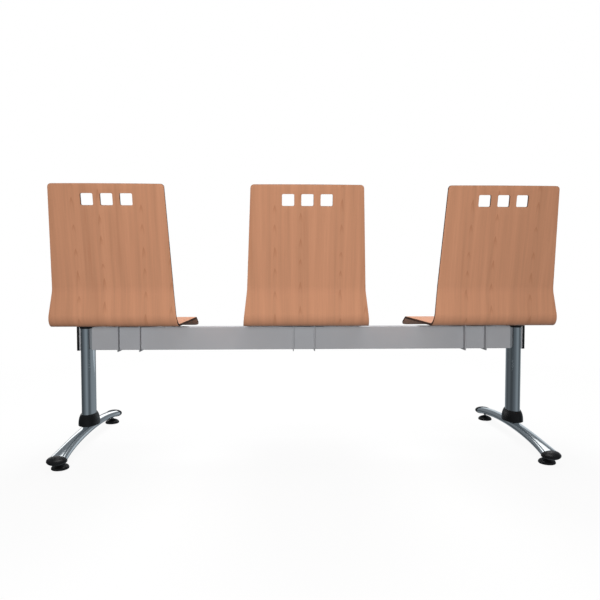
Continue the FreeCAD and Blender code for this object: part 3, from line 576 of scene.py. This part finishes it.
def sum_of(*shares):
    """Adds up noises, each times its share."""
    first, share = shares[0]
    total = add(tree, "ShaderNodeMath", {"operation": "MULTIPLY", 1: share}, i0=first.outputs[0])
    for noise, share in shares[1:]:
        total = add(tree, "ShaderNodeMath", {"operation": "MULTIPLY_ADD", 1: share},
                    i0=noise.outputs[0], i2=total.outputs[0])
    return total


# Bands of the flitch some 26 mm wide, narrower streaks, and the fine grain
broad = streaks(26, 900, 1.0, 0.2)
narrow = streaks(9, 420, 2.0, 0.3)
fine = streaks(2.6, 90, 3.0, 0.2)
tone = sum_of((broad, 0.5), (narrow, 0.3), (fine, 0.2))
veneer = add(tree, "ShaderNodeValToRGB", i0=tone.outputs[0])
ramp = veneer.color_ramp
for stop, (where, hue) in enumerate(VENEER_TONES):
    mark = ramp.elements[stop] if stop < 2 else ramp.elements.new(where)
    mark.position = where
    mark.color = linear(hue)

# Cathedral peaks: small pointed arches in rows where the knife left a growth ring, the
# rows 80 and 127 mm apart and the peaks about 70 mm. They wander along the grain a little,
# and each row is shifted along it by its own place times the row's shift.
PEAK_DARK = "#a86c4a"
PEAK_STRENGTH = 0.6
PEAK_ROWS = (0.1, 0.02)
ROW_REPEAT = 0.207
ROW_SHIFT = 4
PEAK_REPEAT = 0.071
PEAK_HALF = 0.008
PEAK_STEEP = 3.2
PEAK_FADE = 0.024
PEAK_WANDER = 0.09
axes = add(tree, "ShaderNodeSeparateXYZ", i0=grain_map.outputs[0])
wander = streaks(60, 90, 1.0, 0.0)
peaks = None
for row_place in PEAK_ROWS:
    across = add(tree, "ShaderNodeMath", {"operation": "SUBTRACT", 1: row_place},
                 i0=axes.outputs["X"])
    across = add(tree, "ShaderNodeMath", {"operation": "PINGPONG", 1: ROW_REPEAT / 2},
                 i0=across.outputs[0])
    down = add(tree, "ShaderNodeMath", {"operation": "MULTIPLY_ADD", 1: -PEAK_STEEP},
               i0=across.outputs[0], i2=axes.outputs["Y"])
    down = add(tree, "ShaderNodeMath", {"operation": "MULTIPLY_ADD", 1: PEAK_WANDER},
               i0=wander.outputs["Fac"], i2=down.outputs[0])
    down = add(tree, "ShaderNodeMath", {"operation": "ADD", 1: row_place * ROW_SHIFT},
               i0=down.outputs[0])
    down = add(tree, "ShaderNodeMath", {"operation": "WRAP", 1: PEAK_REPEAT, 2: 0.0},
               i0=down.outputs[0])
    tip = add(tree, "ShaderNodeMapRange", {"From Max": PEAK_FADE, "To Min": 1.0, "To Max": 0.0},
              Value=down.outputs[0])
    near = add(tree, "ShaderNodeMapRange", {"interpolation_type": "SMOOTHSTEP",
                                            "From Max": PEAK_HALF, "To Min": 1.0, "To Max": 0.0},
               Value=across.outputs[0])
    peak = add(tree, "ShaderNodeMath", {"operation": "MULTIPLY"}, i0=tip.outputs[0],
               i1=near.outputs[0])
    if peaks is None:
        peaks = peak
    else:
        peaks = add(tree, "ShaderNodeMath", {"operation": "MAXIMUM"}, i0=peaks.outputs[0],
                    i1=peak.outputs[0])
peaks = add(tree, "ShaderNodeMath", {"operation": "MULTIPLY", 1: PEAK_STRENGTH},
            i0=peaks.outputs[0])
veneer = add(tree, "ShaderNodeMix", {"data_type": "RGBA", 7: linear(PEAK_DARK)},
             i0=peaks.outputs[0], i6=veneer.outputs[0])
tree.links.new(veneer.outputs[2], shader.inputs["Base Color"])
PORE_DEPTH = 0.00005
pore = add(tree, "ShaderNodeBump", {"Distance": PORE_DEPTH, "Strength": 0.2},
           Height=fine.outputs["Fac"])
tree.links.new(pore.outputs[0], shader.inputs["Normal"])

# The cut edge: plies of equal thickness under a thin matt sealer, every other one end grain
# and a little darker. It gives the eye a dark outline round each shell and window.
PLY_DARK = "#3c271d"
PLY_LIGHT = "#573a2c"
ply_edge, tree, shader = finish_of("sealed_ply_edge", PLY_LIGHT, roughness=0.75, specular=0.15)
depth_map = add(tree, "ShaderNodeUVMap", {"uv_map": "depth"})
depth = add(tree, "ShaderNodeSeparateXYZ", i0=depth_map.outputs[0])
plies = add(tree, "ShaderNodeMath", {"operation": "MULTIPLY", 1: PLIES / (2 * PLY)},
            i0=depth.outputs[0])
plies = add(tree, "ShaderNodeMath", {"operation": "FRACT"}, i0=plies.outputs[0])
plies = add(tree, "ShaderNodeMath", {"operation": "GREATER_THAN", 1: 0.5}, i0=plies.outputs[0])
edge_tone = add(tree, "ShaderNodeMix", {"data_type": "RGBA", 6: linear(PLY_DARK),
                                        7: linear(PLY_LIGHT)}, i0=plies.outputs[0])
tree.links.new(edge_tone.outputs[2], shader.inputs["Base Color"])
place = add(tree, "ShaderNodeTexCoord")
grained(tree, shader, place.outputs["Object"], size_mm=0.7, depth_mm=0.03, strength=0.4)
for seat, side in SEATS.items():
    shell = pressed_shell(f"pressed_shell_{seat}", side * PITCH)
    shell.data.materials.append(beech)
    shell.data.materials.append(ply_edge)
    shell.visible_glossy = False
    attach(shell, BODY)
    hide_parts(f"seat_shell_{seat}")
